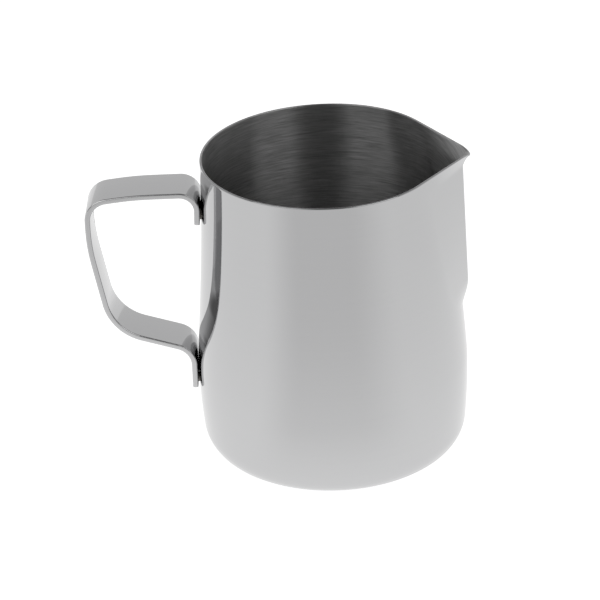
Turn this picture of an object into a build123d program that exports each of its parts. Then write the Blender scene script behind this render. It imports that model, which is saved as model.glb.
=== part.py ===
"""Milk frothing pitcher: a deep-drawn steel jug with a pulled spout and a spot-welded strap handle.

Millimetres. +Z is up and the origin is the middle of the flat base. The spout points along +X
and the handle lies on the -X side, so the X-Z plane is the plane of symmetry.
"""
import os
from math import acos, atan2, cos, degrees, pi, sin, sqrt

from build123d import *

os.makedirs("parts", exist_ok=True)

# ---- Driving dimensions: the jug ------------------------------------------------------------
height = 110.0  # base to rim
rim_radius = 43.08  # outside of the rim, away from the spout
belly_radius = 46.95  # outside, at the widest ring
belly_height = 33.0  # height of that ring
foot_radius = 44.76  # where the wall line would meet the base without its corner
corner_radius = 11.1  # outside of the bend from base to wall
neck_ease = 0.7  # below 1 the neck draws in sooner above the belly
wall = 0.8  # sheet thickness, base and wall
rim_break = 0.25  # the cut edge of the rim is broken by this much, inside and outside

# ---- Driving dimensions: the spout ----------------------------------------------------------
lip_out = 6.25  # the pouring lip's tip stands this far out from the rim circle
ridge_out = 3.5  # the ridge just under the lip stands this far out from the wall
shoulder_out = 2.7  # the ridge at its lower shoulder stands this far out from the wall
shoulder_height = 62.0  # height of that shoulder
notch_height = 52.5  # the ridge runs out into the wall here
lip_height = 5.5  # the flared lip is this tall
lip_flare = 1.4  # above 1 the lip leans out more and more towards its edge
nose_radius = 2.8  # outside of the ridge, in plan
lip_nose_radius = 4.0  # outside of the lip's tip, in plan
flank_pinch = 1.9  # how far pulling the spout draws the wall in, at the rim
notch_pinch = 0.04  # and at the notch, where it starts
blend_radius = 38.0  # from a spout flank back to the round wall, in plan
round_margin = 2.0  # the wall is a plain solid of revolution up to this far below the notch

# ---- Driving dimensions: the strap handle ---------------------------------------------------
strap_width = 16.9
strap_thickness = 1.9
strap_edge_radius = 0.5
finger_gap = 37.92  # rim circle to the inside of the grip
strap_top_drop = 9.5  # rim to the strap's upper face, at the wall
brow_reach = 16.0  # from the grip back to the faint bend in the top run
brow_fall = 0.35  # the top run falls this much before that bend
top_corner_fall = 2.45  # and this much by the corner above the grip
knee_drop = 29.0  # rim to the knee in the grip
lower_corner_height = 48.45  # strap centre, where the grip would meet the lower run
lower_corner_inset = 6.3  # how far in from the grip's top that corner lies
lower_bend_height = 40.1  # strap centre, where the lower run would meet its tab
upper_tab_drop = 21.9  # rim to the upper tab's end
lower_tab_height = 25.5  # base to the lower tab's end
wall_bend_radius = 6.0  # strap centre, at the upper tab
brow_radius = 110.0
top_corner_radius = 7.4
knee_radius = 70.0
lower_corner_radius = 17.5
lower_bend_radius = 7.5  # strap centre, at the lower tab
tab_corner_radius = 1.0
tab_clearance = 0.03  # between a tab and the wall that it is welded to

# ---- Driving dimensions: the spot welds -----------------------------------------------------
weld_diameter = 3.4
weld_spacing = 7.6  # centre to centre, side by side under each tab
weld_bite_wall = 0.2  # least depth of fused metal in the jug wall
weld_bite_tab = 0.9  # depth of fused metal in the tab
weld_to_tab_end = 2.3  # weld centre above the tab's end

# ---- How finely the jug is drawn ------------------------------------------------------------
belly_points = 7  # on the wall line, from the base to the last round section
notch_sections = 6  # from the notch to the shoulder
ridge_sections = 6  # from the shoulder to the lip
lip_sections = 4  # from the foot of the lip to the rim

# ---- Worked out from them -------------------------------------------------------------------
lip_start = height - lip_height
round_top = notch_height - round_margin
upper_tab_end = height - upper_tab_drop
upper_weld_height = upper_tab_end + weld_to_tab_end
lower_weld_height = lower_tab_height + weld_to_tab_end


def radius_at(z):
    """Outside radius of the round wall at height z."""
    if z < belly_height:
        return belly_radius - (belly_radius - foot_radius) * (1 - z / belly_height) ** 2
    rise = ((z - belly_height) / (height - belly_height)) ** neck_ease
    return belly_radius - (belly_radius - rim_radius) * rise**2 * (3 - 2 * rise)


def lip_share(z):
    """How much of the lip's flare is reached at height z: 0 at its foot and 1 at the rim."""
    return max(0.0, (z - lip_start) / lip_height) ** lip_flare


def ridge_at(z):
    """Axis to the outside of the spout's ridge at height z."""
    spout_reach = rim_radius + lip_out
    ridge_reach = radius_at(lip_start) + ridge_out
    shoulder_reach = radius_at(shoulder_height) + shoulder_out
    if z < shoulder_height:
        rise = (z - notch_height) / (shoulder_height - notch_height)
        return radius_at(z) + (shoulder_reach - radius_at(z)) * sin(rise * pi / 2)
    if z <= lip_start:
        rise = (z - shoulder_height) / (lip_start - shoulder_height)
        return shoulder_reach + (ridge_reach - shoulder_reach) * rise
    return ridge_reach + (spout_reach - ridge_reach) * lip_share(z)


def nose_at(z):
    """Outside radius, in plan, of the ridge or of the lip at height z."""
    return nose_radius + (lip_nose_radius - nose_radius) * lip_share(z)


def pinch_at(z):
    """How far inside the round wall a spout flank passes at height z."""
    rise = (z - notch_height) / (height - notch_height)
    return notch_pinch + (flank_pinch - notch_pinch) * rise**2


def polar(distance, angle):
    """Point in plan, at an angle in radians from the spout."""
    return Vector(distance * cos(angle), distance * sin(angle))


def mirrored(point):
    """The same point on the other side of the spout."""
    return Vector(point.X, -point.Y)


def spout_points(z, inset):
    """Where the round wall, the blend and the flank end, in plan, and the middle of the blend."""
    radius = radius_at(z) - inset
    flank_distance = radius - pinch_at(z)
    nose_r = nose_at(z) - inset
    nose_centre = ridge_at(z) - inset - nose_r
    blend_r = blend_radius - inset
    normal = acos((flank_distance - nose_r) / nose_centre)
    spread = acos((flank_distance - blend_r) / (radius - blend_r))
    blend_centre = polar(radius - blend_r, normal + spread)
    back = polar(radius, normal + spread)
    blend_mid = blend_centre + polar(blend_r, normal + spread / 2)
    flank = blend_centre + polar(blend_r, normal)
    nose = Vector(nose_centre, 0) + polar(nose_r, normal)
    return back, blend_mid, flank, nose


def round_section(z, inset):
    """Round section at height z, its outline cut where the spout's lowest section has its joins."""
    back, _, flank, nose = spout_points(notch_height, inset)
    half = [degrees(atan2(point.Y, point.X)) for point in (back, flank, nose)]
    cuts = [half[0]] + [360 - angle for angle in half] + [360 + angle for angle in half[::-1]]
    radius = radius_at(z) - inset
    arcs = [CenterArc((0, 0), radius, start, end - start) for start, end in zip(cuts, cuts[1:])]
    return Pos(0, 0, z) * Face(Wire([arc.edge() for arc in arcs]))


def spout_section(z, inset):
    """Section at height z, moved in by inset: round wall, blends, flat flanks and nose."""
    back, blend_mid, flank, nose = spout_points(z, inset)
    with BuildLine() as outline:
        ThreePointArc(back, (inset - radius_at(z), 0), mirrored(back))
        ThreePointArc(mirrored(back), mirrored(blend_mid), mirrored(flank))
        Line(mirrored(flank), mirrored(nose))
        ThreePointArc(mirrored(nose), (ridge_at(z) - inset, 0), nose)
        Line(nose, flank)
        ThreePointArc(flank, blend_mid, back)
    return Pos(0, 0, z) * Face(outline.wire())


def spout_stations():
    """Heights of the sections: close together where the ridge curves, at the notch and the lip."""
    stations = []
    for low, high, steps in (
        (notch_height, shoulder_height, notch_sections),
        (shoulder_height, lip_start, ridge_sections),
        (lip_start, height - rim_break, lip_sections),
    ):
        stations += [low + (high - low) * step / steps for step in range(steps)]
    return stations + [height - rim_break]


def jug_form(inset, rim_inset):
    """The jug as one solid shape, every surface moved in by inset, and its top by rim_inset."""
    sections = [round_section(round_top, inset)]
    sections += [spout_section(z, inset) for z in spout_stations()]
    sections += [spout_section(height, rim_inset)]
    rise = (round_top - inset) / (belly_points - 1)
    heights = [inset + rise * point for point in range(belly_points)]
    with BuildPart() as form:
        # Base, corner and belly: a solid of revolution.
        with BuildSketch(Plane.XZ):
            with BuildLine():
                Spline([(radius_at(z) - inset, z) for z in heights])
                Polyline(
                    (radius_at(round_top) - inset, round_top),
                    (0, round_top),
                    (0, inset),
                    (radius_at(inset) - inset, inset),
                )
            make_face()
        revolve(axis=Axis.Z)
        fillet(form.edges().group_by(Axis.Z)[0], corner_radius - inset)
        # Neck, spout and lip, from the last round section up to the rim.
        loft(sections, ruled=True)
    return form.part


def strap_line():
    """The middle of the strap, in the X-Z plane, from the upper tab's end to the lower tab's."""
    half = strap_thickness / 2
    stand_off = tab_clearance + half
    grip_x = -(rim_radius + finger_gap + half)
    strap_top = height - strap_top_drop - half
    with BuildLine(Plane.XZ) as line:
        FilletPolyline(
            (-(radius_at(upper_tab_end - half) + stand_off), upper_tab_end),
            (-(radius_at(strap_top) + stand_off), strap_top),
            (grip_x + brow_reach, strap_top - brow_fall),
            (grip_x, strap_top - top_corner_fall),
            (grip_x, height - knee_drop),
            (grip_x + lower_corner_inset, lower_corner_height),
            (-(belly_radius + stand_off), lower_bend_height),
            (-(belly_radius + stand_off), lower_tab_height),
            radius=[
                wall_bend_radius,
                brow_radius,
                top_corner_radius,
                knee_radius,
                lower_corner_radius,
                lower_bend_radius,
            ],
        )
    return line.wire()


def tab_corners(tab_end):
    """What rounding takes off the two corners of a tab whose end is at height tab_end."""
    corner = tab_corner_radius
    with BuildPart() as corners:
        with BuildSketch(Plane.YZ.offset(-rim_radius)):
            for side in (-1, 1):
                edge = side * strap_width / 2
                with Locations((edge - side * corner / 2, tab_end + corner / 2)):
                    Rectangle(corner, corner)
                with Locations((edge - side * corner, tab_end + corner)):
                    Circle(corner, mode=Mode.SUBTRACT)
        extrude(amount=-(belly_radius - rim_radius + 2 * strap_thickness))
    return corners.part


def weld_nuggets(weld_height, tab_face):
    """The fused metal under one tab: two short plugs, let into the jug wall and into the tab."""
    radius = weld_diameter / 2
    wall_radius = min(radius_at(weld_height - radius), radius_at(weld_height + radius))
    wall_face = sqrt(wall_radius**2 - (weld_spacing / 2 + radius) ** 2)
    with BuildPart() as nuggets:
        with BuildSketch(Plane.YZ.offset(-(wall_face - weld_bite_wall))):
            with Locations((-weld_spacing / 2, weld_height), (weld_spacing / 2, weld_height)):
                Circle(radius)
        extrude(amount=-(tab_face + weld_bite_tab - wall_face + weld_bite_wall))
    return nuggets.part


# ---- upper_spot_welds and lower_spot_welds --------------------------------------------------
upper_tab_face = radius_at(upper_tab_end) + tab_clearance
lower_tab_face = belly_radius + tab_clearance
with BuildPart() as upper_spot_welds:
    add(weld_nuggets(upper_weld_height, upper_tab_face))
with BuildPart() as lower_spot_welds:
    add(weld_nuggets(lower_weld_height, lower_tab_face))

# ---- pitcher_body ---------------------------------------------------------------------------
with BuildPart() as pitcher_body:
    add(jug_form(0, rim_break))
    add(jug_form(wall, wall - rim_break), mode=Mode.SUBTRACT)
    add([upper_spot_welds.part, lower_spot_welds.part], mode=Mode.SUBTRACT)

# ---- handle ---------------------------------------------------------------------------------
with BuildPart() as handle:
    strap_path = strap_line()
    with BuildSketch(Plane(strap_path @ 0, x_dir=(0, 1, 0), z_dir=strap_path % 0)):
        RectangleRounded(strap_width, strap_thickness, strap_edge_radius)
    sweep(path=strap_path)
    add([tab_corners(upper_tab_end), tab_corners(lower_tab_height)], mode=Mode.SUBTRACT)
    add([upper_spot_welds.part, lower_spot_welds.part], mode=Mode.SUBTRACT)

for label, piece in (
    ("pitcher_body", pitcher_body),
    ("handle", handle),
    ("upper_spot_welds", upper_spot_welds),
    ("lower_spot_welds", lower_spot_welds),
):
    piece.part.label = label
    export_step(piece.part, f"parts/{label}.step")
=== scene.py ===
"""The look of a milk frothing pitcher: polished steel, brushed inside, with a strap handle."""

from math import acos, atan2, ceil, cos, pi, radians, sin, sqrt, tan

import bpy
from mathutils import Matrix, Vector


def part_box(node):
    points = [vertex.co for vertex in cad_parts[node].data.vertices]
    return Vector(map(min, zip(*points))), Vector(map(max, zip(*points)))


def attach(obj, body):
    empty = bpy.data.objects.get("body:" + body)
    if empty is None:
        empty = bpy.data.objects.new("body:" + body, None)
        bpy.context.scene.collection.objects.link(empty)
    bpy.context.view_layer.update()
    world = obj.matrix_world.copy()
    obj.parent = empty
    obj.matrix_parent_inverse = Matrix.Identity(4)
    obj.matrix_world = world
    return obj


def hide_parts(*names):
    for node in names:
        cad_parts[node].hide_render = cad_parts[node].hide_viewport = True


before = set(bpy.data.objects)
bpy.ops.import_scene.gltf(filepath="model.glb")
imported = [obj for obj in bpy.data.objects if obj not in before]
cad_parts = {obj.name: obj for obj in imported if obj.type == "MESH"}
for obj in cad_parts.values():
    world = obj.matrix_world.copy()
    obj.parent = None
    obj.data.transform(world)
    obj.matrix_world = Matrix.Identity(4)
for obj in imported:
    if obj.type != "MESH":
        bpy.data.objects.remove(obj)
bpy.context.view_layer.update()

MM = 0.001  # shapes are worked out in millimetres, and meshes are made in metres

# ---- The jug, in millimetres ----------------------------------------------------------------
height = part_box("pitcher_body")[1].z / MM
rim_radius = 43.08
belly_radius = 46.95
belly_height = 33.0  # where the wall is widest
foot_radius = 44.76  # where the wall's curve would reach the counter
corner_radius = 11.1  # between the base and the wall, outside
neck_ease = 0.7  # under 1, so that the wall leans in soon above the belly
wall = 0.8
rim_rounding = 0.34  # how far the cut edge of the rim is rounded over, inside and outside

# ---- The spout ------------------------------------------------------------------------------
lip_out = 6.25  # the lip beyond the round rim
ridge_out = 3.5  # the ridge beyond the wall, just under the lip
shoulder_out = 2.7  # and at the shoulder
shoulder_height = 62.0  # the ridge runs straight from here up to the lip
notch_height = 52.5  # the spout starts in the wall here
lip_height = 5.5  # the lip turns out over this much below the rim
lip_flare = 1.4  # over 1, so that it turns out more and more
lip_dip = 1.2  # the lip's tip bends down by this much
lip_dip_length = 3.4  # from this far back
nose_radius = 2.8  # across the ridge
lip_nose_radius = 4.0  # across the lip
flank_pinch = 1.9  # the spout's flat sides inside the round wall, at the rim
notch_pinch = 0.04  # and where the spout starts
blend_radius = 38.0  # between the flat sides and the round wall
lip_start = height - lip_height

# ---- The strap handle -----------------------------------------------------------------------
strap_width = 16.9
strap_thickness = 1.9
strap_edge_radius = 0.5
finger_gap = 37.92  # from the rim out to the inside of the grip's top corner
strap_top_drop = 9.5  # from the rim down to the strap's top face
brow_reach = 16.0  # from the grip in to the slight bend in the top run
brow_fall = 0.35  # how far the top run has fallen there
top_corner_fall = 2.45  # and at its outer corner
knee_drop = 29.0  # from the rim down to the slight bend in the grip
lower_corner_height = 48.45
lower_corner_inset = 6.3  # from the grip's top corner in towards the wall
lower_bend_height = 40.1  # where the lower run turns down along the wall
upper_tab_drop = 21.9  # from the rim down to the upper tab's end
lower_tab_height = 25.5  # the lower tab's end
tab_clearance = 0.03  # between a tab and the wall
tab_corner_radius = 1.0  # of the tab ends, as seen flat
tab_end_rounding = 0.4  # of the tab ends' edges, through the strap's thickness
bend_radii = (6.0, 110.0, 7.4, 70.0, 17.5, 7.5)  # from the upper tab to the lower one

# ---- How finely the meshes are drawn --------------------------------------------------------
base_ring_shares = (0.02, 0.25, 0.5, 0.75, 0.9)  # of the flat base's radius
corner_rings = 18
plain_ring_gap = 1.6
spout_ring_gap = 0.7
rim_rings = 8
strap_ring_gap = 0.5
strap_turn_step = radians(3)
strap_edge_steps = 6
tab_end_shares = (0.02, 0.06, 0.14, 0.26, 0.42, 0.62, 0.8)  # of tab_corner_radius
settling_rounds = 30  # tries at the height where the base's corner meets the leaning wall

# ---- The finishes, lengths in metres --------------------------------------------------------
weld_grain = 0.0005  # size of the specks
hairline_turns = (0.5, 1.9, 2.7)  # radians about the axis below, one set of scratches for each
hairline_axis = (0.3, 0.5, 0.8)
hairline_stretch = (1.0, 7.0, 60.0)  # how many times shorter a scratch is along each axis
quarter_turn = 0.25  # of a full turn, as the shader counts them

# ---- The stage, lengths in metres -----------------------------------------------------------
backdrop_light = 0.72  # strength of the room's own light behind and beside the jug
gap_light = 0.22  # in front, between the softboxes
ceiling_light = 0.2  # overhead
floor_glow = 0.72  # what the floor adds to its lit colour, so that it shows white
floor_colour = (0.85, 0.85, 0.85, 1)
floor_size = 30
floor_drop = 0.0002  # keeps the floor clear of the base
softbox_distance = 0.9
softbox_height = 0.6
softbox_tilt = radians(40)  # above level


# ---- The jug's shape ------------------------------------------------------------------------
def radius_at(z):
    """Outside radius of the round wall at height z."""
    if z < belly_height:
        return belly_radius - (belly_radius - foot_radius) * (1 - z / belly_height) ** 2
    rise = ((z - belly_height) / (height - belly_height)) ** neck_ease
    return belly_radius - (belly_radius - rim_radius) * rise**2 * (3 - 2 * rise)


def lean_at(z):
    """How much the wall's radius grows for each millimetre of height."""
    step = 0.05
    return (radius_at(z + step) - radius_at(z - step)) / (2 * step)


def lip_share(z):
    """How much of the lip's flare is reached at height z: 0 at its foot and 1 at the rim."""
    return max(0.0, (z - lip_start) / lip_height) ** lip_flare


def ridge_at(z):
    """Axis to the outside of the spout's ridge at height z."""
    ridge_reach = radius_at(lip_start) + ridge_out
    shoulder_reach = radius_at(shoulder_height) + shoulder_out
    if z < shoulder_height:
        rise = (z - notch_height) / (shoulder_height - notch_height)
        return radius_at(z) + (shoulder_reach - radius_at(z)) * sin(rise * pi / 2)
    if z <= lip_start:
        rise = (z - shoulder_height) / (lip_start - shoulder_height)
        return shoulder_reach + (ridge_reach - shoulder_reach) * rise
    return ridge_reach + (rim_radius + lip_out - ridge_reach) * lip_share(z)


def reach(angle, z, inset):
    """Axis to the surface, at an angle from the spout and a height, moved in by inset."""
    radius = radius_at(z) - inset
    if z <= notch_height:
        return radius
    rise = (z - notch_height) / (height - notch_height)
    flank = radius - notch_pinch - (flank_pinch - notch_pinch) * rise**2
    nose = nose_radius + (lip_nose_radius - nose_radius) * lip_share(z) - inset
    blend = blend_radius - inset
    nose_centre = ridge_at(z) - inset - nose
    normal = acos((flank - nose) / nose_centre)
    blend_end = normal + acos((flank - blend) / (radius - blend))
    blend_centre = radius - blend
    nose_end = atan2(nose * sin(normal), nose_centre + nose * cos(normal))
    flank_end = atan2(
        blend_centre * sin(blend_end) + blend * sin(normal),
        blend_centre * cos(blend_end) + blend * cos(normal),
    )
    angle = abs(angle)
    if angle < nose_end:
        return nose_centre * cos(angle) + sqrt(nose**2 - (nose_centre * sin(angle)) ** 2)
    if angle < flank_end:
        return flank / cos(angle - normal)
    if angle < blend_end:
        turn = angle - blend_end
        return blend_centre * cos(turn) + sqrt(blend**2 - (blend_centre * sin(turn)) ** 2)
    return radius


def dipped(x, z):
    """Height of a point once the lip's tip is bent down."""
    tip = rim_radius + lip_out
    along = max(0.0, (x - (tip - lip_dip_length)) / lip_dip_length)
    up = min(1.0, max(0.0, (z - lip_start) / lip_height))
    return z - lip_dip * along**2 * up


def around(steps=170, gather=0.72):
    """Angles round the jug, close together at the spout's ridge and even at the back."""
    shares = [k / steps for k in range(steps + 1)]
    half = [pi * ((1 - gather) * t + gather * t**3) for t in shares]
    return [-angle for angle in half[:0:-1]] + half[:-1]


def corner_tangent(inset):
    """Height where the corner runs into the wall, and the radius of the corner's middle."""
    corner = corner_radius - inset
    z = corner_radius
    for _ in range(settling_rounds):
        lean = lean_at(z)
        z = inset + corner * (1 - lean / sqrt(1 + lean**2))
    normal = 1 / sqrt(1 + lean_at(z) ** 2)
    return z, radius_at(z) - inset - corner * normal


def body_rings(inset):
    """(radius, height) of one skin's rings from the base up, radius None on the wall itself."""
    corner = corner_radius - inset
    tangent_z, middle = corner_tangent(inset)
    rings = [(middle * share, inset) for share in base_ring_shares]
    turn = acos(1 - (tangent_z - inset) / corner)
    for step in range(corner_rings):
        angle = turn * step / corner_rings
        rings.append((middle + corner * sin(angle), inset + corner * (1 - cos(angle))))
    z = tangent_z
    while z < height - spout_ring_gap:
        rings.append((None, z))
        z += spout_ring_gap if z > notch_height - plain_ring_gap else plain_ring_gap
    return rings


def grid_object(name, rings):
    """A smooth closed mesh of quads between rings that all have the same number of points."""
    count = len(rings[0])
    points = [tuple(c * MM for c in point) for ring in rings for point in ring]
    faces = []
    for row in range(len(rings) - 1):
        for k in range(count):
            a, b = row * count + k, row * count + (k + 1) % count
            faces.append((a, b, b + count, a + count))
    for row, order in ((0, -1), (len(rings) - 1, 1)):
        faces.append(tuple(row * count + k for k in range(count))[::order])
    mesh = bpy.data.meshes.new(name)
    mesh.from_pydata(points, [], faces)
    mesh.shade_smooth()
    mesh.update()
    piece = bpy.data.objects.new(name, mesh)
    bpy.context.scene.collection.objects.link(piece)
    return piece


def make_body():
    """The whole drawn cup as one closed skin: outside, rounded rim and inside."""
    angles = around()

    def ring(radius, z, inset):
        radii = [reach(a, z, inset) if radius is None else radius for a in angles]
        corners = [(r * cos(a), r * sin(a)) for r, a in zip(radii, angles)]
        return [(x, y, dipped(x, z)) for x, y in corners]

    rings = [ring(radius, z, 0) for radius, z in body_rings(0)]
    outside_rows = len(rings) + rim_rings // 2
    for step in range(rim_rings + 1):
        turn = pi * step / rim_rings
        across = (wall - 2 * rim_rounding) * step / rim_rings
        inset = rim_rounding * (1 - cos(turn)) + across
        rings.append(ring(None, height - rim_rounding * (1 - sin(turn)), inset))
    rings += [ring(radius, z, wall) for radius, z in reversed(body_rings(wall))]
    body = grid_object("pitcher_shell", rings)
    body.data.materials.append(polished_steel())
    body.data.materials.append(brushed_steel())
    for polygon in body.data.polygons:
        polygon.material_index = int(polygon.index >= outside_rows * len(angles))
    outer_base = len(body.data.polygons) - 2  # of the two discs that close the skin
    body.data.polygons[outer_base].material_index = 0
    return body


# ---- The strap's shape ----------------------------------------------------------------------
def strap_corners():
    """The middle of the strap as a polyline in the X-Z plane, from tab end to tab end."""
    half = strap_thickness / 2
    stand_off = tab_clearance + half
    tab_end = height - upper_tab_drop
    top = height - strap_top_drop - half
    grip = -(rim_radius + finger_gap + half)
    corners = (
        (-(radius_at(tab_end - half) + stand_off), tab_end),
        (-(radius_at(top) + stand_off), top),
        (grip + brow_reach, top - brow_fall),
        (grip, top - top_corner_fall),
        (grip, height - knee_drop),
        (grip + lower_corner_inset, lower_corner_height),
        (-(belly_radius + stand_off), lower_bend_height),
        (-(belly_radius + stand_off), lower_tab_height),
    )
    return [Vector(corner) for corner in corners]


def strap_path():
    """Points and directions along the strap's middle, straight runs joined by arcs."""
    corners = strap_corners()
    path = []

    def run(start, end):
        length = (end - start).length
        direction = (end - start).normalized()
        steps = max(1, ceil(length / strap_ring_gap))
        stops = [length * step / steps for step in range(steps + 1)]
        if start == corners[0]:
            stops += [tab_corner_radius * share for share in tab_end_shares]
        if end == corners[-1]:
            stops += [length - tab_corner_radius * share for share in tab_end_shares]
        path.extend((start + direction * stop, direction) for stop in sorted(set(stops)))

    start = corners[0]
    for before, corner, after, radius in zip(corners, corners[1:], corners[2:], bend_radii):
        into = (corner - before).normalized()
        out = (after - corner).normalized()
        turn = into.angle_signed(out)
        cut = radius * tan(abs(turn) / 2)
        arc_start = corner - into * cut
        run(start, arc_start)
        side = Vector((-into.y, into.x)) * (-1 if turn > 0 else 1)
        centre = arc_start + side * radius
        steps = max(4, ceil(abs(turn) / strap_turn_step))
        for step in range(1, steps):
            spin = Matrix.Rotation(-turn * step / steps, 2)
            path.append((centre + spin @ (arc_start - centre), spin @ into))
        start = corner + out * cut
    run(start, corners[-1])
    return path


def strap_section(half_width, half):
    """Outline of the strap across its length: (across, through) points with rounded edges."""
    edge = strap_edge_radius
    outline = []
    for side_across, side_through, first in ((1, 1, 0), (-1, 1, 1), (-1, -1, 2), (1, -1, 3)):
        for step in range(strap_edge_steps + 1):
            angle = (first + step / strap_edge_steps) * pi / 2
            across = side_across * (half_width - edge) + edge * cos(angle)
            through = side_through * (half - edge) + edge * sin(angle)
            outline.append((across, through))
    return outline


def rounded(from_end, radius):
    """How far a corner of this radius has drawn in, at a distance from the end it rounds."""
    short = max(0.0, radius - from_end)
    return radius - sqrt(radius**2 - short**2)


def make_handle():
    """The bent strap, its two tab ends rounded in plan and through their thickness."""
    path = strap_path()
    lengths = [0.0]
    for (a, _), (b, _) in zip(path, path[1:]):
        lengths.append(lengths[-1] + (b - a).length)
    rings = []
    for (point, direction), length in zip(path, lengths):
        from_end = min(length, lengths[-1] - length)
        half_width = strap_width / 2 - rounded(from_end, tab_corner_radius)
        half_thickness = strap_thickness / 2 - rounded(from_end, tab_end_rounding)
        normal = Vector((-direction.y, direction.x))
        ring = []
        for across, through in strap_section(half_width, half_thickness):
            place = point + normal * through
            ring.append((place.x, across, place.y))
        rings.append(ring)
    handle = grid_object("strap_handle", rings)
    handle.data.materials.append(strap_steel())
    return handle


# ---- Shared node groups ---------------------------------------------------------------------
def new_group(name, inputs, outputs):
    """An empty node group with named float or vector sockets, and short ways to build in it."""
    group = bpy.data.node_groups.new(name, "ShaderNodeTree")
    for socket, kind, value in inputs:
        made = group.interface.new_socket(socket, in_out="INPUT", socket_type=kind)
        if value is not None:
            made.default_value = value
    for socket in outputs:
        group.interface.new_socket(socket, in_out="OUTPUT", socket_type="NodeSocketFloat")
    return group, group.nodes.new("NodeGroupInput"), group.nodes.new("NodeGroupOutput")


def math_node(tree, operation, first, second=None, clamp=False):
    """A maths node; each operand is a socket to link or a number to set."""
    node = tree.nodes.new("ShaderNodeMath")
    node.operation = operation
    node.use_clamp = clamp
    for socket, operand in zip(node.inputs, (first, second)):
        if isinstance(operand, (int, float)):
            socket.default_value = operand
        elif operand is not None:
            tree.links.new(operand, socket)
    return node.outputs[0]


def noise_node(tree, vector, across, detail, roughness):
    """Noise over a position, and over a fourth number that runs across the lines."""
    node = tree.nodes.new("ShaderNodeTexNoise")
    node.noise_dimensions = "4D"
    node.inputs["Scale"].default_value = 1.0
    node.inputs["Detail"].default_value = detail
    node.inputs["Roughness"].default_value = roughness
    tree.links.new(vector, node.inputs["Vector"])
    if isinstance(across, (int, float)):
        node.inputs["W"].default_value = across
    else:
        tree.links.new(across, node.inputs["W"])
    return node.outputs["Fac"]


def spread_node(tree, value, low, high, start=0.0, end=1.0, smooth=False):
    """A value stretched to run from low to high as it goes from start to end."""
    node = tree.nodes.new("ShaderNodeMapRange")
    if smooth:
        node.interpolation_type = "SMOOTHSTEP"
    for name, number in (
        ("From Min", start), ("From Max", end), ("To Min", low), ("To Max", high)
    ):
        node.inputs[name].default_value = number
    tree.links.new(value, node.inputs["Value"])
    return node.outputs[0]


def distance_node(tree, x, y):
    """Distance from the jug's axis."""
    squares = math_node(
        tree, "ADD", math_node(tree, "POWER", x, 2.0), math_node(tree, "POWER", y, 2.0)
    )
    return math_node(tree, "SQRT", squares)


def split_position(tree, output="Object"):
    """The position itself, and its x, y and z."""
    position = tree.nodes.new("ShaderNodeTexCoord").outputs[output]
    split = tree.nodes.new("ShaderNodeSeparateXYZ")
    tree.links.new(position, split.inputs[0])
    return position, *split.outputs


def scaled(tree, vector, length):
    """A position divided by a length, so that noise over it has features of that length."""
    node = tree.nodes.new("ShaderNodeVectorMath")
    node.operation = "SCALE"
    tree.links.new(vector, node.inputs[0])
    tree.links.new(math_node(tree, "DIVIDE", 1.0, length), node.inputs["Scale"])
    return node.outputs[0]


def make_brush_lines():
    """Lines left by a brush: noise that changes fast across them and slowly along them."""
    group, given, out = new_group(
        "brush_lines",
        (
            ("Position", "NodeSocketVector", None),
            ("Across", "NodeSocketFloat", 0.0),
            ("Spacing", "NodeSocketFloat", 0.0005),
            ("Run", "NodeSocketFloat", 0.03),
        ),
        ("Lines",),
    )
    along = scaled(group, given.outputs["Position"], given.outputs["Run"])
    across = math_node(group, "DIVIDE", given.outputs["Across"], given.outputs["Spacing"])
    lines = noise_node(group, along, across, detail=3.0, roughness=0.6)
    group.links.new(lines, out.inputs["Lines"])
    return group


def make_handling_wear():
    """Soft cloudy smears and a few hairline scratches, as cloths and counters leave them."""
    group, given, out = new_group(
        "handling_wear",
        (
            ("Position", "NodeSocketVector", None),
            ("Smear Size", "NodeSocketFloat", 0.02),
            ("Scratch Length", "NodeSocketFloat", 0.012),
        ),
        ("Smears", "Scratches"),
    )
    position = given.outputs["Position"]
    spots = scaled(group, position, given.outputs["Smear Size"])
    cloud = noise_node(group, spots, across=0.0, detail=2.0, roughness=0.5)
    smears = spread_node(group, cloud, low=0.0, high=1.0, start=0.4, end=0.65)
    group.links.new(smears, out.inputs["Smears"])
    hairlines = scaled(group, position, given.outputs["Scratch Length"])
    found = None
    for turn in hairline_turns:
        turned = group.nodes.new("ShaderNodeVectorRotate")
        turned.inputs["Axis"].default_value = hairline_axis
        turned.inputs["Angle"].default_value = turn
        group.links.new(hairlines, turned.inputs["Vector"])
        stretched = group.nodes.new("ShaderNodeVectorMath")
        stretched.operation = "MULTIPLY"
        stretched.inputs[1].default_value = hairline_stretch
        group.links.new(turned.outputs[0], stretched.inputs[0])
        streak = noise_node(group, stretched.outputs[0], across=turn, detail=1.0, roughness=0.4)
        hair = spread_node(group, streak, low=0.0, high=1.0, start=0.68, end=0.74)
        found = hair if found is None else math_node(group, "MAXIMUM", found, hair)
    group.links.new(found, out.inputs["Scratches"])
    return group


def make_edge_band():
    """1 within a band at an edge and 0 away from it, with a soft border."""
    group, given, out = new_group(
        "edge_band",
        (
            ("Place", "NodeSocketFloat", 0.0),
            ("Edge", "NodeSocketFloat", 0.1),
            ("Width", "NodeSocketFloat", 0.001),
        ),
        ("Band",),
    )
    from_edge = math_node(group, "SUBTRACT", given.outputs["Edge"], given.outputs["Place"])
    share = math_node(group, "DIVIDE", from_edge, given.outputs["Width"])
    band = math_node(group, "SUBTRACT", 1.0, share, clamp=True)
    group.links.new(band, out.inputs["Band"])
    return group


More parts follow.
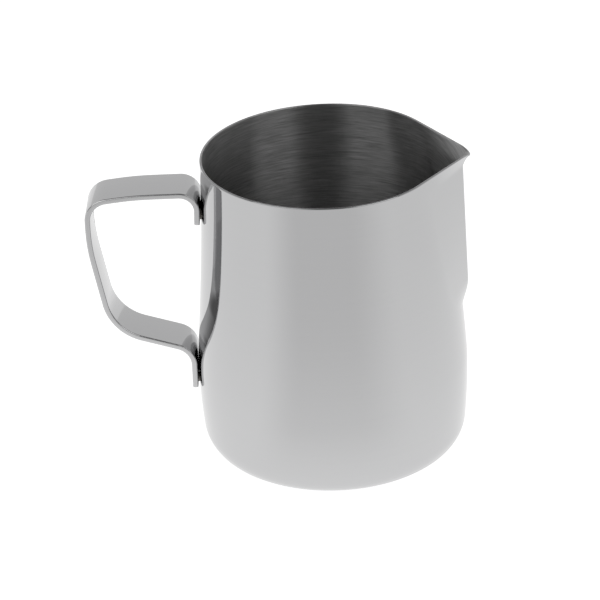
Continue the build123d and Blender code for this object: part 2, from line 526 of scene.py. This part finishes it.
# ---- Materials ------------------------------------------------------------------------------
class Finish:
    """A new material with its Principled shader, and short ways to add what finishes share."""

    def __init__(self, name):
        self.material = bpy.data.materials.new(name)
        self.material.use_nodes = True
        self.tree = self.material.node_tree
        self.shader = self.tree.nodes["Principled BSDF"]
        self.shader.inputs["Metallic"].default_value = 1
        self.position, self.x, self.y, self.z = split_position(self.tree)

    def math(self, operation, first, second=None, clamp=False):
        return math_node(self.tree, operation, first, second, clamp)

    def group(self, group, **values):
        """Place a shared group and give its inputs sockets or numbers by name."""
        node = self.tree.nodes.new("ShaderNodeGroup")
        node.node_tree = group
        for name, value in values.items():
            socket = node.inputs[name.replace("_", " ")]
            if isinstance(value, (int, float)):
                socket.default_value = value
            else:
                self.tree.links.new(value, socket)
        return node.outputs

    def across_turning(self):
        """A length that grows up the wall and out over the base, across turned lines."""
        return self.math("ADD", self.z, distance_node(self.tree, self.x, self.y))

    def spread(self, value, low, high, start=0.0, end=1.0):
        """A value stretched to run from low to high as it goes from start to end."""
        return spread_node(self.tree, value, low, high, start, end)

    def grey(self, value, dark, light):
        """A colour between two, by a 0 to 1 value, into Base Color."""
        ramp = self.tree.nodes.new("ShaderNodeMix")
        ramp.data_type = "RGBA"
        ramp.inputs["A"].default_value = (*dark, 1)
        ramp.inputs["B"].default_value = (*light, 1)
        self.tree.links.new(value, ramp.inputs["Factor"])
        self.tree.links.new(ramp.outputs["Result"], self.shader.inputs["Base Color"])

    def roughness(self, value):
        self.tree.links.new(value, self.shader.inputs["Roughness"])

    def bump(self, value, depth):
        """Height from a 0 to 1 value, where 1 stands depth metres proud."""
        node = self.tree.nodes.new("ShaderNodeBump")
        node.inputs["Strength"].default_value = 1.0
        node.inputs["Distance"].default_value = depth
        self.tree.links.new(value, node.inputs["Height"])
        self.tree.links.new(node.outputs[0], self.shader.inputs["Normal"])

    def grain_round_axis(self, amount):
        """Stretch highlights up and down the wall, across grain that runs round the jug."""
        tangent = self.tree.nodes.new("ShaderNodeTangent")
        tangent.direction_type = "RADIAL"
        tangent.axis = "Z"
        self.tree.links.new(tangent.outputs[0], self.shader.inputs["Tangent"])
        self.shader.inputs["Anisotropic"].default_value = amount
        self.shader.inputs["Anisotropic Rotation"].default_value = quarter_turn


def polished_steel():
    """Mirror-polished outside: faint turning lines, smears and hairlines, a rougher cut rim
    whose darker colour is painted shade.
    """
    finish = Finish("polished_steel")
    lines = finish.group(
        brush_lines,
        Position=finish.position, Across=finish.across_turning(), Spacing=0.0008, Run=0.08,
    )["Lines"]
    wear = finish.group(
        handling_wear, Position=finish.position, Smear_Size=0.03, Scratch_Length=0.012
    )
    # The rim band takes the colour down to the dark grey, which is painted shade on the cut
    # rim; its added roughness is the real duller cut.
    rim = finish.group(edge_band, Place=finish.z, Edge=height * MM, Width=0.0006)["Band"]
    turning_lines_and_painted_rim_shade = finish.math("SUBTRACT", finish.spread(lines, low=0.96, high=1.0), rim, clamp=True)
    finish.grey(turning_lines_and_painted_rim_shade, dark=(0.26, 0.26, 0.265), light=(0.58, 0.58, 0.585))
    smeared = finish.spread(wear["Smears"], low=0.03, high=0.05)
    cut = finish.spread(rim, low=0, high=0.05)
    scratched = finish.spread(wear["Scratches"], low=0, high=0.06)
    finish.roughness(finish.math("ADD", finish.math("ADD", smeared, cut), scratched))
    finish.bump(lines, depth=0.0000005)
    return finish.material


def brushed_steel():
    """Inside: fine lines brushed round the cup, over the floor as rings."""
    finish = Finish("brushed_steel_inside")
    across = finish.across_turning()
    fine, coarse = (
        finish.group(
            brush_lines, Position=finish.position, Across=across, Spacing=spacing, Run=run
        )["Lines"]
        for spacing, run in ((0.0002, 0.006), (0.00045, 0.009))
    )
    brushed = finish.math(
        "ADD", finish.math("MULTIPLY", fine, 0.5), finish.math("MULTIPLY", coarse, 0.5)
    )
    streaks = finish.spread(brushed, low=0, high=1, start=0.36, end=0.64)
    finish.grey(streaks, dark=(0.3, 0.3, 0.3), light=(0.53, 0.53, 0.53))
    finish.roughness(finish.spread(streaks, low=0.3, high=0.36))
    finish.bump(brushed, depth=0.000006)
    finish.grain_round_axis(1.0)
    return finish.material


def strap_steel():
    """The strap: polished along its length, with a painted highlight that makes its side edges
    brighter.
    """
    finish = Finish("strap_steel")
    lines = finish.group(
        brush_lines, Position=finish.position, Across=finish.y, Spacing=0.0004, Run=0.04
    )["Lines"]
    wear = finish.group(
        handling_wear, Position=finish.position, Smear_Size=0.015, Scratch_Length=0.008
    )
    side = finish.math("ABSOLUTE", finish.y)
    # The band along the strap's side edges lightens the colour: a painted highlight where those
    # faces catch the light.
    edge = finish.group(
        edge_band, Place=side, Edge=strap_width / 2 * MM, Width=0.0009
    )["Band"]
    grain_and_painted_edge_highlight = finish.math("ADD", finish.math("MULTIPLY", lines, 0.5), edge, clamp=True)
    finish.grey(grain_and_painted_edge_highlight, dark=(0.52, 0.52, 0.525), light=(0.56, 0.56, 0.565))
    grained = finish.spread(lines, low=0.05, high=0.09)
    smeared = finish.spread(wear["Smears"], low=0, high=0.03)
    finish.roughness(finish.math("ADD", grained, smeared))
    finish.bump(lines, depth=0.0000015)
    return finish.material


def weld_metal():
    """Fused metal: dull, a little darker, with specks of heat tint."""
    finish = Finish("weld_metal")
    grains = scaled(finish.tree, finish.position, weld_grain)
    specks = noise_node(finish.tree, grains, across=0.0, detail=4.0, roughness=0.6)
    finish.grey(specks, dark=(0.16, 0.15, 0.14), light=(0.4, 0.38, 0.35))
    finish.roughness(finish.spread(specks, low=0.4, high=0.65))
    finish.bump(specks, depth=0.00003)
    return finish.material


# ---- Stage: floor, light and camera ---------------------------------------------------------
def eased(tree, value, start, end, low, high):
    """A value that eases from low to high as the input goes from start to end."""
    return spread_node(tree, value, low, high, start, end, smooth=True)


def seen_directly(tree):
    """1 for the camera's own rays and those that pass through something clear."""
    rays = tree.nodes.new("ShaderNodeLightPath").outputs
    return math_node(tree, "MAXIMUM", rays["Is Camera Ray"], rays["Is Transmission Ray"])


def painted_floor_shade(tree):
    """How bright metal sees the floor, with painted shade: dimmer far away, and a painted
    shadow in the dark gap in front.
    """
    _, x, y, _ = split_position(tree)
    away = distance_node(tree, x, y)
    bearing = math_node(tree, "ARCTAN2", x, math_node(tree, "MULTIPLY", y, -1.0))
    # The painted shadow in front of the jug: how it spreads across bearings and how it deepens
    # with distance from the jug.
    left = eased(tree, bearing, start=radians(-55), end=radians(-22), low=0.0, high=1.0)
    right = eased(tree, bearing, start=radians(16), end=radians(60), low=1.0, high=0.2)
    near = eased(tree, away, start=0.045, end=0.105, low=0.0, high=0.13)
    far = eased(tree, away, start=0.12, end=0.29, low=0.0, high=0.06)
    depth = math_node(tree, "ADD", near, far)
    # gap is the painted shadow: a darker patch on the floor in front of the jug.
    gap = math_node(tree, "MULTIPLY", math_node(tree, "MULTIPLY", left, right), depth)
    # Painted falloff: the floor dims with distance from the jug.
    painted_falloff = eased(tree, away, start=0.05, end=0.29, low=1.0, high=0.91)
    return math_node(tree, "MULTIPLY", painted_falloff, math_node(tree, "SUBTRACT", 1.0, gap))


def make_floor():
    """A plain pale floor that shows white, and still takes a soft shadow; to metal it shows a
    glow with painted shade instead.
    """
    bpy.ops.mesh.primitive_plane_add(size=floor_size, location=(0, 0, -floor_drop))
    floor = bpy.context.object
    floor.name = "floor"
    material = bpy.data.materials.new("pale_floor")
    material.use_nodes = True
    tree = material.node_tree
    tree.nodes.remove(tree.nodes["Principled BSDF"])
    diffuse = tree.nodes.new("ShaderNodeBsdfDiffuse")
    diffuse.inputs["Color"].default_value = floor_colour
    white = tree.nodes.new("ShaderNodeEmission")
    glow = math_node(tree, "MULTIPLY", seen_directly(tree), floor_glow)
    tree.links.new(glow, white.inputs["Strength"])
    lit = tree.nodes.new("ShaderNodeAddShader")
    tree.links.new(diffuse.outputs[0], lit.inputs[0])
    tree.links.new(white.outputs[0], lit.inputs[1])
    # What metal sees of the floor: a glow with painted shade, darker far away and with a
    # painted shadow in front of the jug.
    painted_shade_glow = tree.nodes.new("ShaderNodeEmission")
    tree.links.new(painted_floor_shade(tree), painted_shade_glow.inputs["Strength"])
    shown = tree.nodes.new("ShaderNodeMixShader")
    glossy = tree.nodes.new("ShaderNodeLightPath").outputs["Is Glossy Ray"]
    tree.links.new(glossy, shown.inputs["Fac"])
    tree.links.new(lit.outputs[0], shown.inputs[1])
    tree.links.new(painted_shade_glow.outputs[0], shown.inputs[2])
    tree.links.new(shown.outputs[0], tree.nodes["Material Output"].inputs["Surface"])
    floor.data.materials.append(material)


def make_world():
    """A pale backdrop all round, dimmer overhead and in the gap between the softboxes."""
    world = bpy.data.worlds.new("studio")
    bpy.context.scene.world = world
    world.use_nodes = True
    tree = world.node_tree
    _, _, y, z = split_position(tree, "Generated")
    backdrop = eased(tree, y, start=-0.5, end=0.0, low=gap_light, high=backdrop_light)
    raised = eased(tree, z, start=0.6, end=0.86, low=0.0, high=1.0)
    room = tree.nodes.new("ShaderNodeMix")
    tree.links.new(raised, room.inputs["Factor"])
    tree.links.new(backdrop, room.inputs["A"])
    room.inputs["B"].default_value = ceiling_light
    shown = tree.nodes.new("ShaderNodeMix")
    tree.links.new(seen_directly(tree), shown.inputs["Factor"])
    tree.links.new(room.outputs["Result"], shown.inputs["A"])
    shown.inputs["B"].default_value = 1.0
    background = tree.nodes["Background"]
    background.inputs["Color"].default_value = (1, 1, 1, 1)
    tree.links.new(shown.outputs["Result"], background.inputs["Strength"])


def make_softbox(name, bearing, width, power):
    """A wide lamp facing the jug's middle, at a bearing from the front towards the spout."""
    data = bpy.data.lights.new(name, "AREA")
    data.shape = "RECTANGLE"
    data.size, data.size_y = width, softbox_height
    data.energy = power
    lamp = bpy.data.objects.new(name, data)
    level = softbox_distance * cos(softbox_tilt)
    raised = softbox_distance * sin(softbox_tilt)
    lamp.location = (level * sin(bearing), -level * cos(bearing), raised)
    target = Vector((0, 0, height / 2 * MM))
    lamp.rotation_euler = (target - lamp.location).to_track_quat("-Z", "Y").to_euler()
    lamp.visible_camera = False
    bpy.context.scene.collection.objects.link(lamp)


def make_camera():
    """1.34 m away and 29 degrees above level, turned a little to one side and rolled."""
    turn, tilt, roll = radians(1.6), radians(28.87), radians(-2.28)
    distance = 1342.2
    view_width = 212.05  # at the jug's base
    aim_right, aim_up = -10.93, 49.07  # from the base's middle to the middle of the view
    right = Vector((cos(turn), sin(turn), 0))
    away = Vector((-sin(turn) * cos(tilt), cos(turn) * cos(tilt), -sin(tilt)))
    place = away * -distance
    aim = right * aim_right + right.cross(away) * aim_up
    look = (aim - place).normalized()
    level = look.cross(Vector((0, 0, 1))).normalized()
    rolled_right = level * cos(roll) + level.cross(look) * sin(roll)
    axes = Matrix((rolled_right, rolled_right.cross(look), -look)).transposed()
    data = bpy.data.cameras.new("camera")
    data.sensor_width = 36.0
    data.lens = data.sensor_width * distance / view_width
    data.clip_start, data.clip_end = 0.1, 30.0
    camera = bpy.data.objects.new("camera", data)
    camera.matrix_world = Matrix.Translation(place * MM) @ axes.to_4x4()
    bpy.context.scene.collection.objects.link(camera)
    bpy.context.scene.camera = camera


# ---- Putting it together --------------------------------------------------------------------
make_camera()
brush_lines = make_brush_lines()
handling_wear = make_handling_wear()
edge_band = make_edge_band()

for piece, node, slot in (
    (make_body(), "pitcher_body", "polished_steel"),
    (make_handle(), "handle", "handle_steel"),
):
    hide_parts(node)
    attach(piece, "root")

weld = weld_metal()
for node in ("upper_spot_welds", "lower_spot_welds"):
    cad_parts[node].data.materials.clear()
    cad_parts[node].data.materials.append(weld)

make_floor()
make_world()
make_softbox("softbox_left", bearing=radians(-44), width=0.68, power=1.6)
make_softbox("softbox_right", bearing=radians(53), width=0.64, power=1.6)
bpy.context.scene.view_settings.view_transform = "Standard"
